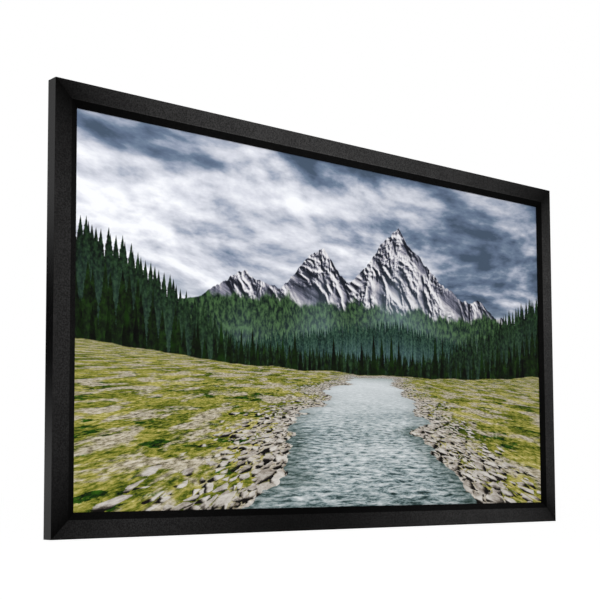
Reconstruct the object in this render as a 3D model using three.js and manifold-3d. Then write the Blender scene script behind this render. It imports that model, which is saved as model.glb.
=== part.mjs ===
// A fixed frame projector screen, in millimetres: a tensioned white sheet in a velvet-faced aluminium
// frame that hangs on four wall brackets. X runs to the viewer's right, Y towards the wall and Z up.
// The origin is the middle of the whole object.
//
// The frame's four sides are alike, so each is drawn as the bottom side and turned about Y.
// A side's section is drawn in two coordinates: u, inwards from the frame's outer edge, and v, back from
// the front of the velvet. A place along a side is s, from the side's middle.
import * as THREE from "three";
import { mergeVertices } from "three/addons/utils/BufferGeometryUtils.js";
import Module from "manifold-3d";

const wasm = await Module();
wasm.setup();

// Picture area: a diagonal of 100 inches at 16:9
const PICTURE_WIDTH = 2214;
const PICTURE_HEIGHT = 1245;

// Frame section
const BORDER = 80; // outer edge to picture
const FACE = 57; // flat part of the front
const BEVEL_DROP = 8; // how far the bevel falls back on its way to the picture
const LIP = 4; // straight edge behind the bevel
const DEPTH = 47; // front of the velvet to the back of the rail
const WALL = 1.6; // wall of the extrusion
const BEVEL_ROUND = 10; // soft edge where the bevel starts
const LIP_ROUND = 1.5; // soft edges at the picture
const BACK_ROUND = 2; // outer back edge
const MITRE_GAP = 0.3; // hairline between two rails at a corner
const TAIL = 9; // flange behind the lip, with the velvet turned over it

// Velvet facing
const VELVET = 0.8;
const GLUE = 0.3;

// Channel along the back of each rail
const CHANNEL_FROM_EDGE = 8;
const CHANNEL_WIDTH = 22;
const CHANNEL_DEPTH = 6;
const CHANNEL_MOUTH = 12;

// Ledge that the springs hook on to
const TROUGH = 7; // room for a hook between the rail's web and the ledge's edge
const TROUGH_DEPTH = 2.7;

// Screen sheet, with a sleeve for a rod along each side
const SHEET = 0.5;
const ROD_FROM_PICTURE = 16.5;
const ROD_RADIUS = 1.5;
const ROD_PAST_SLEEVE = 6;
const SHEET_CORNER = 20; // corner of the sheet that is cut off
const SLEEVE_RUN = 8; // from the rod to where the sleeve meets the sheet again
const SEAM = 5; // welded strip beside the sleeve
const SEAM_BITE = 0.2; // how far the weld melts into the sheet
const NOTCH_WIDTH = 16; // gap in the sleeve at each spring
const NOTCH_MARGIN = 1; // notch past the spring's hook

// Tension springs
const SPRINGS_ACROSS = 11; // along the top and along the bottom
const SPRINGS_UP = 6; // along each upright
const COIL_RADIUS = 3;
const WIRE_RADIUS = 0.5;
const HOOK_STRAIGHT = 2.3; // straight wire between the coil and a hook
const HOOK_END = 1.2; // how far a hook's end passes the rod's middle

// Corner brackets with their grub screws
const CORNER_LEG = 110;
const CORNER_PLATE = 4;
const GRUB_RADIUS = 3;
const GRUBS_FROM_CORNER = [52, 92];
const GRUB_PROUD = 0.8; // how far a grub screw stands out of its bracket
const GRUB_SOCKET_RADIUS = 1.7; // to the corners of the hexagon socket
const GRUB_SOCKET_DEPTH = 2.5;

// Support bar behind the middle of the sheet, with a clip at each end
const BAR_WIDTH = 30;
const BAR_DEPTH = 15;
const BAR_WALL = 1.5;
const BAR_BEHIND_SHEET = 12;
const CLIP_FLANGE = 3;
const CLIP_RIM = 3; // how far the clip's flange stands proud of the bar
const CLIP_PLUG = 20; // how far the clip reaches into the bar
const CLAW_THICKNESS = 2;
const CLAW_WIDTH = 20;
const CLAW_BITE = 2; // how far the claw reaches under the channel's lip
const SCREW_RADIUS = 1.7;
const SCREW_LENGTH = 8;
const SCREW_HEAD_RADIUS = 3.5;
const SCREW_HEAD_HEIGHT = 2.2;

// Wall brackets
const BRACKET_PLATE = 2.5;
const BRACKET_BEND = 0.5; // inside radius of a bend
const BRACKET_WIDTH = 90;
const BRACKET_HEIGHT = 62;
const BRACKET_CORNER = 6;
const BRACKET_TONGUE = 4.2; // tongue behind the channel's lip
const BRACKET_FROM_MIDDLE = 600;
const BRACKET_GAP = 0.5; // between the rail's back and the plate
const SLOT_WIDTH = 7;
const SLOT_LENGTH = 16;
const SLOT_FROM_SHELF = 42;
const SLOT_SPACING = 56;

const CLEARANCE = 0.3;

// Places that follow from the sizes
const FRAME_WIDTH = PICTURE_WIDTH + 2 * BORDER;
const FRAME_HEIGHT = PICTURE_HEIGHT + 2 * BORDER;
const PLATE_FRONT = DEPTH + BRACKET_GAP;
const WALL_PLANE = PLATE_FRONT + BRACKET_PLATE;
const SKIN = VELVET + GLUE; // the metal lies this far under the velvet's face
const SIGHT_BACK = BEVEL_DROP + LIP; // back of the velvet at the picture's edge
const SHEET_FRONT = SIGHT_BACK + CLEARANCE;
const SHEET_BACK = SHEET_FRONT + SHEET;
const SLEEVE_RADIUS = ROD_RADIUS + CLEARANCE;
const ROD_U = BORDER - ROD_FROM_PICTURE;
const ROD_V = SHEET_BACK + SLEEVE_RADIUS;
const CHANNEL_END = CHANNEL_FROM_EDGE + CHANNEL_WIDTH;
const MOUTH_START = CHANNEL_FROM_EDGE + (CHANNEL_WIDTH - CHANNEL_MOUTH) / 2;
const MOUTH_END = MOUTH_START + CHANNEL_MOUTH;
const LIP_INSIDE = DEPTH - WALL; // front of the channel's lips
const BEHIND_LIP = LIP_INSIDE - CLEARANCE; // back of what lies in the channel
const CHANNEL_FLOOR = LIP_INSIDE - CHANNEL_DEPTH;
const WEB_FACE = CHANNEL_END + WALL; // face of the web that looks towards the picture
const ROD_HOOK = ROD_RADIUS + CLEARANCE + WIRE_RADIUS; // radius of a hook's bend
const LEDGE_HOOK = WALL / 2 + CLEARANCE + WIRE_RADIUS;
const EDGE_U = WEB_FACE + TROUGH + WALL / 2; // middle of the ledge's edge
const EDGE_V = ROD_V + ROD_HOOK - LEDGE_HOOK; // back of the ledge's edge
const BAR_FRONT = SHEET_BACK + BAR_BEHIND_SHEET;
const BAR_BACK = BAR_FRONT + BAR_DEPTH;
const CLIP_START = WEB_FACE + CLEARANCE;
const CLIP_END = CLIP_START + CLIP_FLANGE;
const SCREW_U = CLIP_END + CLIP_PLUG / 2;
const SCREW_HOLE = SCREW_RADIUS + CLEARANCE;
const QUARTER_TURN = Math.PI / 2;

// Finishes
const finish = (color, roughness, metalness) =>
  new THREE.MeshStandardMaterial({ color, roughness, metalness });
const blackAluminium = finish(0x1b1b1c, 0.42, 0.6);
const blackVelvet = finish(0x111111, 1, 0);
const whiteVinyl = finish(0xf2f2f0, 0.9, 0);
const zincSteel = finish(0xb4b6b8, 0.38, 0.9);
const springSteel = finish(0x9a9c9f, 0.3, 1);
const fibreglass = finish(0xe6e1cf, 0.45, 0);
const blackSteel = finish(0x18181a, 0.5, 0.5);
const blackPlastic = finish(0x151515, 0.6, 0);

// A closed geometry as a solid that can be joined and cut
function solid(geometry) {
  const bare = geometry.clone();
  bare.deleteAttribute("normal");
  bare.deleteAttribute("uv");
  const merged = mergeVertices(bare, 1e-4);
  return new wasm.Manifold(
    new wasm.Mesh({
      numProp: 3,
      vertProperties: merged.attributes.position.array,
      triVerts: new Uint32Array(merged.index.array),
    }),
  );
}

function geometryOf(made) {
  const { vertProperties, triVerts } = made.getMesh();
  return new THREE.BufferGeometry()
    .setAttribute("position", new THREE.BufferAttribute(vertProperties, 3))
    .setIndex(new THREE.BufferAttribute(triVerts, 1));
}

const join = (geometries) => geometries.map(solid).reduce((whole, piece) => whole.add(piece));
const cut = (whole, cutters) => cutters.map(solid).reduce((left, cutter) => left.subtract(cutter), whole);

// A path moved sideways, to the left of travel, with its corners kept
function shifted(points, distance) {
  const steps = points.slice(1).map((point, i) => point.clone().sub(points[i]).normalize());
  return points.map((point, i) => {
    const into = steps[i - 1] ?? steps[i];
    const out = steps[i] ?? steps[i - 1];
    const side = new THREE.Vector2(-into.y - out.y, into.x + out.x);
    return point.clone().addScaledVector(side, distance / (1 + into.dot(out)));
  });
}

// A path with corners turned into arcs. A radius is given for each point, 0 for a sharp one.
function rounded(points, radii, steps = 4) {
  return points.flatMap((point, i) => {
    if (!radii[i]) return [point];
    const toBefore = points[i - 1].clone().sub(point).normalize();
    const toAfter = points[i + 1].clone().sub(point).normalize();
    const half = toBefore.angleTo(toAfter) / 2;
    const middle = toBefore.clone().add(toAfter).normalize();
    const centre = point.clone().addScaledVector(middle, radii[i] / Math.sin(half));
    const start = point.clone().addScaledVector(toBefore, radii[i] / Math.tan(half));
    const sweep = (Math.PI - 2 * half) * Math.sign(toAfter.cross(toBefore));
    const onArc = (_, k) => start.clone().rotateAround(centre, (sweep * k) / steps);
    return Array.from({ length: steps + 1 }, onArc);
  });
}

// The band between a path moved sideways by near and by far. Radii are for the path itself, so a bend's
// inner side gets a smaller one and its outer side a larger one.
function band(corners, near, far, radii = []) {
  const path = corners.map(([u, v]) => new THREE.Vector2(u, v));
  const turn = (i) => Math.sign(path[i].clone().sub(path[i - 1]).cross(path[i + 1].clone().sub(path[i])));
  const edge = (distance) =>
    rounded(
      shifted(path, distance),
      path.map((_, i) => (radii[i] ? Math.max(radii[i] - distance * turn(i), 0) : 0)),
    );
  return new THREE.Shape([...edge(near), ...edge(far).reverse()]);
}

const rectangle = (x0, x1, y0, y1) => band([[x0, y0], [x1, y0]], 0, y1 - y0);

// A section in u and v, run along a side and centred on its middle. A mitred run is shorter by u at each
// end, which cuts both ends at 45 degrees.
function run(section, length, mitred = false) {
  const geometry = new THREE.ExtrudeGeometry(section, { depth: length, bevelEnabled: false });
  const position = geometry.attributes.position;
  for (let i = 0; i < position.count; i++) {
    const trim = mitred ? position.getX(i) + MITRE_GAP / Math.SQRT2 : 0;
    const along = position.getZ(i) - length / 2;
    position.setZ(i, along - Math.sign(along) * trim);
  }
  const sectionToSide = new THREE.Matrix4().makeBasis(
    new THREE.Vector3(0, 0, 1),
    new THREE.Vector3(0, 1, 0),
    new THREE.Vector3(-1, 0, 0),
  );
  return geometry.applyMatrix4(sectionToSide);
}

// A flat outline in s and u, from v0 back to v1
function sheetOf(outline, v0, v1) {
  const settings = { depth: v1 - v0, bevelEnabled: false, curveSegments: 6 };
  const geometry = new THREE.ExtrudeGeometry(outline, settings);
  return geometry.rotateX(QUARTER_TURN).translate(0, v1, 0);
}

const block = (u0, u1, v0, v1, width) => run(rectangle(u0, u1, v0, v1), width);

// A round bar through the section, along v
const pin = (s, u, v0, v1, radius, sides) =>
  new THREE.CylinderGeometry(radius, radius, v1 - v0, sides).translate(s, (v0 + v1) / 2, u);

// The velvet's face, from the outer edge over the bevel to the tail behind the lip
const FACE_PATH = [
  [0, 0],
  [FACE, 0],
  [BORDER, BEVEL_DROP],
];
const LIP_LIMIT = Math.min(LIP_ROUND, LIP / 2);

function velvetGeometry(length) {
  const path = [...FACE_PATH, [BORDER, SIGHT_BACK], [BORDER - TAIL, SIGHT_BACK]];
  return run(band(path, 0, VELVET, [0, BEVEL_ROUND, LIP_LIMIT, LIP_LIMIT, 0]), length, true);
}

// Aluminium rail: front skin with its flange, side and back, web, channel and spring ledge
function railGeometry(length) {
  const skinPath = [...FACE_PATH, [BORDER, SIGHT_BACK - SKIN]];
  const sidePath = [
    [MOUTH_START, DEPTH],
    [0, DEPTH],
    [0, SKIN],
  ];
  const channelPath = [
    [CHANNEL_END + WALL / 2, CHANNEL_FLOOR],
    [CHANNEL_FROM_EDGE, CHANNEL_FLOOR],
    [CHANNEL_FROM_EDGE, LIP_INSIDE + WALL / 2],
  ];
  const ledgePath = [
    [CHANNEL_END + WALL / 2, EDGE_V - TROUGH_DEPTH],
    [EDGE_U - WALL / 2, EDGE_V - TROUGH_DEPTH],
    [EDGE_U - WALL / 2, EDGE_V],
  ];
  const walls = [
    band(skinPath, SKIN, SKIN + WALL, [0, BEVEL_ROUND, LIP_LIMIT, 0]),
    rectangle(BORDER - TAIL, BORDER - SKIN, SIGHT_BACK - SKIN - WALL, SIGHT_BACK - SKIN),
    band(sidePath, 0, WALL, [0, BACK_ROUND, 0]),
    rectangle(CHANNEL_END, WEB_FACE, SKIN + WALL / 2, DEPTH),
    rectangle(MOUTH_END, WEB_FACE, LIP_INSIDE, DEPTH),
    band(channelPath, 0, WALL),
    band(ledgePath, 0, -WALL),
  ];
  return geometryOf(join(walls.map((wall) => run(wall, length, true))));
}

const sleeveLength = (length) => length - 2 * (ROD_U + SHEET_CORNER);

// Places of a side's springs along it
function springPlaces(length, count) {
  const pitch = sleeveLength(length) / count;
  return Array.from({ length: count }, (_, i) => (i - (count - 1) / 2) * pitch);
}

// The sheet's edge, folded back round the rod and welded to the sheet
function sleeveGeometry(length) {
  const steps = 8;
  const fold = Array.from({ length: steps + 1 }, (_, i) => {
    const angle = -QUARTER_TURN - (Math.PI * i) / steps;
    return [ROD_U + SLEEVE_RADIUS * Math.cos(angle), ROD_V + SLEEVE_RADIUS * Math.sin(angle)];
  });
  const weld = SHEET_BACK - SEAM_BITE;
  const path = [
    [ROD_U + SLEEVE_RADIUS, SHEET_BACK],
    ...fold,
    [ROD_U + SLEEVE_RUN, weld],
    [ROD_U + SLEEVE_RUN + SEAM, weld],
  ];
  return run(band(path, 0, SHEET), sleeveLength(length));
}

// What is cut out of the sleeve so that a spring can hook on to the rod
function notchGeometry(place) {
  const inner = ROD_U + ROD_HOOK + WIRE_RADIUS + NOTCH_MARGIN;
  const outer = ROD_U - 2 * SLEEVE_RADIUS;
  return block(outer, inner, SIGHT_BACK, ROD_V + 2 * SLEEVE_RADIUS, NOTCH_WIDTH).translate(place, 0, 0);
}

// White sheet with its cut corners and four sleeves, as one piece
function screenGeometry() {
  const x = FRAME_WIDTH / 2 - ROD_U;
  const z = FRAME_HEIGHT / 2 - ROD_U;
  const outline = new THREE.Shape([
    new THREE.Vector2(SHEET_CORNER - x, -z),
    new THREE.Vector2(x - SHEET_CORNER, -z),
    new THREE.Vector2(x, SHEET_CORNER - z),
    new THREE.Vector2(x, z - SHEET_CORNER),
    new THREE.Vector2(x - SHEET_CORNER, z),
    new THREE.Vector2(SHEET_CORNER - x, z),
    new THREE.Vector2(-x, z - SHEET_CORNER),
    new THREE.Vector2(-x, SHEET_CORNER - z),
  ]);
  let screen = solid(sheetOf(outline, SHEET_FRONT, SHEET_BACK));
  for (const { turn, length, reach, springs } of SIDES) {
    const toSide = new THREE.Matrix4().makeRotationY(turn);
    toSide.multiply(new THREE.Matrix4().makeTranslation(0, 0, -reach));
    screen = screen.add(solid(sleeveGeometry(length).applyMatrix4(toSide)));
    const notches = springPlaces(length, springs).map(notchGeometry);
    screen = cut(screen, notches.map((notch) => notch.applyMatrix4(toSide)));
  }
  return geometryOf(screen);
}

const rodGeometry = (length) =>
  new THREE.CylinderGeometry(ROD_RADIUS, ROD_RADIUS, sleeveLength(length) + 2 * ROD_PAST_SLEEVE, 12)
    .rotateZ(QUARTER_TURN)
    .translate(0, ROD_V, ROD_U);

// Tension spring: one wire that hooks over the ledge's edge and round the rod, with a closed coil between
function springGeometry() {
  const wirePath = [
    [EDGE_U - LEDGE_HOOK, ROD_V - HOOK_END],
    [EDGE_U - LEDGE_HOOK, ROD_V + ROD_HOOK],
    [ROD_U + ROD_HOOK, ROD_V + ROD_HOOK],
    [ROD_U + ROD_HOOK, ROD_V - HOOK_END],
  ];
  const wire = band(wirePath, -WIRE_RADIUS, WIRE_RADIUS, [0, LEDGE_HOOK, ROD_HOOK, 0]);
  const coilStart = EDGE_U + LEDGE_HOOK + HOOK_STRAIGHT;
  const coilEnd = ROD_U - ROD_HOOK - HOOK_STRAIGHT;
  const coil = new THREE.CylinderGeometry(COIL_RADIUS, COIL_RADIUS, coilEnd - coilStart, 8)
    .rotateX(QUARTER_TURN)
    .translate(0, ROD_V, (coilStart + coilEnd) / 2);
  return geometryOf(join([run(wire, 2 * WIRE_RADIUS), coil]));
}

// Corner bracket, drawn from the frame's bottom left corner: an L that fills the channels of two rails,
// with grub screws that press it against their lips
function cornerBracketGeometry() {
  const near = CHANNEL_FROM_EDGE + CLEARANCE;
  const far = CHANNEL_END - CLEARANCE;
  const outline = new THREE.Shape([
    new THREE.Vector2(near, near),
    new THREE.Vector2(CORNER_LEG, near),
    new THREE.Vector2(CORNER_LEG, far),
    new THREE.Vector2(far, far),
    new THREE.Vector2(far, CORNER_LEG),
    new THREE.Vector2(near, CORNER_LEG),
  ]);
  const middle = (near + far) / 2;
  const places = GRUBS_FROM_CORNER.flatMap((place) => [
    [place, middle],
    [middle, place],
  ]);
  const back = BEHIND_LIP + GRUB_PROUD;
  const grubs = places.map(([x, z]) => pin(x, z, CHANNEL_FLOOR + CLEARANCE, back, GRUB_RADIUS, 12));
  const sockets = places.map(([x, z]) => pin(x, z, back - GRUB_SOCKET_DEPTH, DEPTH, GRUB_SOCKET_RADIUS, 6));
  const plate = sheetOf(outline, BEHIND_LIP - CORNER_PLATE, BEHIND_LIP);
  return geometryOf(cut(join([plate, ...grubs]), sockets));
}

// Support bar: a rectangular tube with a hole for each clip's screw
function supportBarGeometry() {
  const half = BAR_WIDTH / 2;
  const length = FRAME_HEIGHT - 2 * (CLIP_END + CLEARANCE);
  const section = rectangle(-half, half, BAR_FRONT, BAR_BACK);
  const inner = half - BAR_WALL;
  section.holes.push(rectangle(-inner, inner, BAR_FRONT + BAR_WALL, BAR_BACK - BAR_WALL));
  const tube = new THREE.ExtrudeGeometry(section, { depth: length, bevelEnabled: false });
  const hole = FRAME_HEIGHT / 2 - SCREW_U;
  const holes = [-hole, hole].map((z) => pin(0, z, BAR_BACK - 2 * BAR_WALL, WALL_PLANE, SCREW_HOLE, 12));
  return geometryOf(cut(solid(tube.translate(0, 0, -length / 2)), holes));
}

// Clip at the bar's bottom end: flange, plug inside the bar, and a claw round the channel's inner lip
function clipGeometry() {
  const plugGap = BAR_WALL + CLEARANCE;
  const clawPath = [
    [MOUTH_END + CLAW_BITE, BEHIND_LIP],
    [MOUTH_END - CLEARANCE, BEHIND_LIP],
    [MOUTH_END - CLEARANCE, DEPTH + CLEARANCE],
    [CLIP_START, DEPTH + CLEARANCE],
    [CLIP_START, BAR_BACK],
  ];
  const plugEnd = CLIP_END + CLIP_PLUG;
  const pieces = [
    block(CLIP_START, CLIP_END, BAR_FRONT - CLIP_RIM, BAR_BACK + CLIP_RIM, BAR_WIDTH + 2 * CLIP_RIM),
    block(CLIP_START, plugEnd, BAR_FRONT + plugGap, BAR_BACK - plugGap, BAR_WIDTH - 2 * plugGap),
    run(band(clawPath, 0, CLAW_THICKNESS), CLAW_WIDTH),
  ];
  const pilotFront = BAR_BACK - SCREW_LENGTH - CLEARANCE;
  return geometryOf(cut(join(pieces), [pin(0, SCREW_U, pilotFront, BAR_BACK, SCREW_HOLE, 12)]));
}

// Screw that holds the clip in the bar, with its head on the bar's back
function clipScrewGeometry() {
  const profile = [
    [0, -SCREW_LENGTH],
    [SCREW_RADIUS, -SCREW_LENGTH],
    [SCREW_RADIUS, CLEARANCE],
    [SCREW_HEAD_RADIUS, CLEARANCE],
    [SCREW_HEAD_RADIUS, CLEARANCE + SCREW_HEAD_HEIGHT / 2],
    [SCREW_HEAD_RADIUS / 2, CLEARANCE + SCREW_HEAD_HEIGHT],
    [0, CLEARANCE + SCREW_HEAD_HEIGHT],
  ];
  const turned = new THREE.LatheGeometry(profile.map(([x, y]) => new THREE.Vector2(x, y)), 16);
  return turned.translate(0, BAR_BACK, SCREW_U);
}

// Wall bracket: a strip bent round one lip of the channel, with its plate against the wall. The frame's
// upper lips rest on the shelves, so the top bracket's tongue takes the outer lip and the bottom one's
// the inner lip.
function wallBracketGeometry(atTop) {
  const shelf = atTop ? MOUTH_START + CLEARANCE : MOUTH_END - CLEARANCE;
  const tongue = atTop ? MOUTH_START - BRACKET_TONGUE : MOUTH_END + BRACKET_TONGUE;
  const plateFace = atTop ? WALL_PLANE : PLATE_FRONT;
  const thickness = atTop ? -BRACKET_PLATE : BRACKET_PLATE;
  const end = shelf + BRACKET_HEIGHT;
  const path = [
    [tongue, BEHIND_LIP],
    [shelf, BEHIND_LIP],
    [shelf, plateFace],
    [end, plateFace],
  ];
  const plateBend = BRACKET_BEND + (atTop ? BRACKET_PLATE : 0);
  const strip = run(band(path, 0, thickness, [0, BRACKET_BEND, plateBend, 0]), BRACKET_WIDTH);
  const half = BRACKET_WIDTH / 2;
  const corners = [
    [-half, 0],
    [-half, end],
    [half, end],
    [half, 0],
  ];
  const outline = rounded(
    corners.map(([s, u]) => new THREE.Vector2(s, u)),
    [0, BRACKET_CORNER, BRACKET_CORNER, 0],
  );
  const trimmed = solid(strip).intersect(solid(sheetOf(new THREE.Shape(outline), 0, 2 * WALL_PLANE)));
  const slots = [-1, 1].map((side) => slotGeometry((side * SLOT_SPACING) / 2, shelf + SLOT_FROM_SHELF));
  return geometryOf(cut(trimmed, slots));
}

function slotGeometry(s, u) {
  const radius = SLOT_WIDTH / 2;
  const reach = SLOT_LENGTH / 2 - radius;
  const outline = new THREE.Shape();
  outline.absarc(reach, 0, radius, -QUARTER_TURN, QUARTER_TURN);
  outline.absarc(-reach, 0, radius, QUARTER_TURN, 3 * QUARTER_TURN);
  return sheetOf(outline, DEPTH, 2 * WALL_PLANE).translate(s, 0, u);
}

// The frame's sides, anticlockwise from the bottom as seen from the front
const across = { length: FRAME_WIDTH, reach: FRAME_HEIGHT / 2, springs: SPRINGS_ACROSS };
const upright = { length: FRAME_HEIGHT, reach: FRAME_WIDTH / 2, springs: SPRINGS_UP };
const SIDES = [
  { name: "bottom", turn: 0, ...across },
  { name: "right", turn: -QUARTER_TURN, ...upright },
  { name: "top", turn: 2 * QUARTER_TURN, ...across },
  { name: "left", turn: QUARTER_TURN, ...upright },
];

const whole = new THREE.Group();
whole.position.y = -WALL_PLANE / 2;

function place(group, name, geometry, material) {
  const mesh = new THREE.Mesh(geometry, material);
  mesh.name = name;
  group.add(mesh);
  return mesh;
}

function addSide({ name, turn, length, reach, springs }) {
  const side = new THREE.Group();
  side.rotation.y = turn;
  whole.add(side);
  const section = new THREE.Group();
  section.position.z = -reach;
  side.add(section);
  place(section, `${name}_rail`, railGeometry(length), blackAluminium);
  place(section, `${name}_velvet`, velvetGeometry(length), blackVelvet);
  place(section, `${name}_rod`, rodGeometry(length), fibreglass);
  const spring = springGeometry();
  springPlaces(length, springs).forEach((s, i) => {
    place(section, `${name}_spring_${i + 1}`, spring, springSteel).position.x = s;
  });
  return section;
}

const sections = Object.fromEntries(SIDES.map((side) => [side.name, addSide(side)]));

place(whole, "screen_sheet", screenGeometry(), whiteVinyl);
place(whole, "support_bar", supportBarGeometry(), blackAluminium);

for (const name of ["top", "bottom"]) {
  place(sections[name], `${name}_bar_clip`, clipGeometry(), blackPlastic);
  place(sections[name], `${name}_bar_screw`, clipScrewGeometry(), zincSteel);
  const bracket = wallBracketGeometry(name === "top");
  // The top side is turned half round, so its own left is the frame's right
  const leftwards = name === "top" ? 1 : -1;
  place(sections[name], `${name}_left_wall_bracket`, bracket, blackSteel).position.x =
    leftwards * BRACKET_FROM_MIDDLE;
  place(sections[name], `${name}_right_wall_bracket`, bracket, blackSteel).position.x =
    -leftwards * BRACKET_FROM_MIDDLE;
}

// A corner bracket is the same seen along either leg, so it is turned to each corner
const CORNERS = [
  { name: "bottom_left", x: -1, z: -1, turn: 0 },
  { name: "bottom_right", x: 1, z: -1, turn: -QUARTER_TURN },
  { name: "top_right", x: 1, z: 1, turn: 2 * QUARTER_TURN },
  { name: "top_left", x: -1, z: 1, turn: QUARTER_TURN },
];
const cornerBracket = cornerBracketGeometry();
for (const { name, x, z, turn } of CORNERS) {
  const mesh = place(whole, `${name}_corner_bracket`, cornerBracket, zincSteel);
  mesh.rotation.y = turn;
  mesh.position.set((x * FRAME_WIDTH) / 2, 0, (z * FRAME_HEIGHT) / 2);
}

export default whole;
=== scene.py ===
# %% [markdown]
# # A fixed frame projector screen in Blender
#
# The object is a white sheet stretched inside a black frame that hangs on a wall. The rails, brackets and
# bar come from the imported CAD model, in metres, with X to the viewer's right, Y towards the wall and Z
# up. This lesson gives them their finishes, and makes anew what a faceted solid can't show: the velvet,
# the sheet with its sleeves, the coiled springs, the round rods and the bar's screws.
#
# Each shape is a formula on a grid of numbers, worked out with numpy, and each finish is a small network
# of nodes.

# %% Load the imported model
import math
from functools import reduce

import bmesh
import bpy
import numpy as np
from mathutils import Matrix, Vector


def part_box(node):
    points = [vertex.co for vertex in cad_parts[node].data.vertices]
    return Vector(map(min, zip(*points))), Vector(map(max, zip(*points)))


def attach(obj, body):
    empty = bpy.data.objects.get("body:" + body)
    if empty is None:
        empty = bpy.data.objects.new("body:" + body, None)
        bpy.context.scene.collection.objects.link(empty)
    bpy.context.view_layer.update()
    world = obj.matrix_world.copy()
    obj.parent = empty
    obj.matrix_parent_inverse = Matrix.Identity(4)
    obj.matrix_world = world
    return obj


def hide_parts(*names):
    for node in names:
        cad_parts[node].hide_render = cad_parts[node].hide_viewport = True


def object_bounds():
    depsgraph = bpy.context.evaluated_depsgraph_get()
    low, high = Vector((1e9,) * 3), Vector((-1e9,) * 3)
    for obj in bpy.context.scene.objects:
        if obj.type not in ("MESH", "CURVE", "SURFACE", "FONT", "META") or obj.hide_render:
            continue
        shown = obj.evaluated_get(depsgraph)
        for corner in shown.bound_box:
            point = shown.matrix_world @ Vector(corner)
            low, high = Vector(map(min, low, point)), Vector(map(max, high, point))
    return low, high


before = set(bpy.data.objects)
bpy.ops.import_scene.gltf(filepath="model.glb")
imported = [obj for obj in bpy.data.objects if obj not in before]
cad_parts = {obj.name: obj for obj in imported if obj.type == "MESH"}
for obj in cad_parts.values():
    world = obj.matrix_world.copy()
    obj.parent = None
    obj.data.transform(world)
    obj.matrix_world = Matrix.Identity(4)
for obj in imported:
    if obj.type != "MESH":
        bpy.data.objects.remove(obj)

cad_box = [list(corner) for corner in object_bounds()]
print("CAD box from", cad_box[0], "to", cad_box[1])

# %% [markdown]
# ## The sizes that everything follows
#
# A side's section has two coordinates: `u` runs inwards from the frame's outer edge, and `v` runs back
# from the front of the velvet. A place along a side is `s`, counted from its middle. The outer sizes are
# read from the CAD model, and the others are the section's own.

# %% Name the sizes
MM = 0.001

outer_low, outer_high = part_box("bottom_velvet")
FRONT = outer_low.y
FRAME_WIDTH = cad_box[1][0] - cad_box[0][0]
FRAME_HEIGHT = cad_box[1][2] - cad_box[0][2]
BORDER = outer_high.z - outer_low.z
SIGHT_BACK = outer_high.y - FRONT
PICTURE_WIDTH = FRAME_WIDTH - 2 * BORDER
PICTURE_HEIGHT = FRAME_HEIGHT - 2 * BORDER

FACE = 57 * MM
BEVEL_DROP = 8 * MM
TAIL = 9 * MM
BEVEL_ROUND = 4 * MM
LIP_ROUND = 1.5 * MM
VELVET = 0.8 * MM
MITRE_GAP = 0.04 * MM
CLEARANCE = 0.3 * MM
SHEET = 0.5 * MM
print(f"frame {FRAME_WIDTH:.3f} by {FRAME_HEIGHT:.3f} m, border {BORDER:.3f} m")

# %% [markdown]
# ## The camera
#
# The photograph was taken from the front left, a little above the frame's foot. Its upright edges are
# nearly parallel, so the camera looks up only a little and a lens shift does the rest. Its place, turn
# and focal length were fitted to the frame's corners.

# %% Place the camera
CAMERA_PLACE = (-3.0307, -3.3464, -0.5281)
CAMERA_YAW = math.radians(40.28)
CAMERA_PITCH = math.radians(4.14)
CAMERA_ROLL = math.radians(-0.22)
SENSOR = 36.0
FOCAL_PIXELS = 1248.2
IMAGE_PIXELS = 600
LENS_SHIFT = 0.15

camera_data = bpy.data.cameras.new("camera")
camera_data.sensor_width = SENSOR
camera_data.lens = FOCAL_PIXELS / IMAGE_PIXELS * SENSOR
camera_data.shift_y = LENS_SHIFT
camera = bpy.data.objects.new("camera", camera_data)
aimed = Matrix.Rotation(-CAMERA_YAW, 4, "Z") @ Matrix.Rotation(math.pi / 2 + CAMERA_PITCH, 4, "X")
camera.matrix_world = Matrix.Translation(CAMERA_PLACE) @ aimed @ Matrix.Rotation(CAMERA_ROLL, 4, "Z")
bpy.context.scene.collection.objects.link(camera)
bpy.context.scene.camera = camera
bpy.context.scene.view_settings.view_transform = "Standard"
print(f"lens {camera_data.lens:.1f} mm")

# %% [markdown]
# ## Writing node networks as formulas
#
# A node network is easier to read as a formula than as a list of links. This class adds one node for each
# call and gives back its output, so that `n.mix(mask, dark, light)` reads as what it does.

# %% A short way to write nodes
FACTOR_SOCKET, FIRST_COLOUR, SECOND_COLOUR, MIXED_COLOUR = 0, 6, 7, 2


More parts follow.
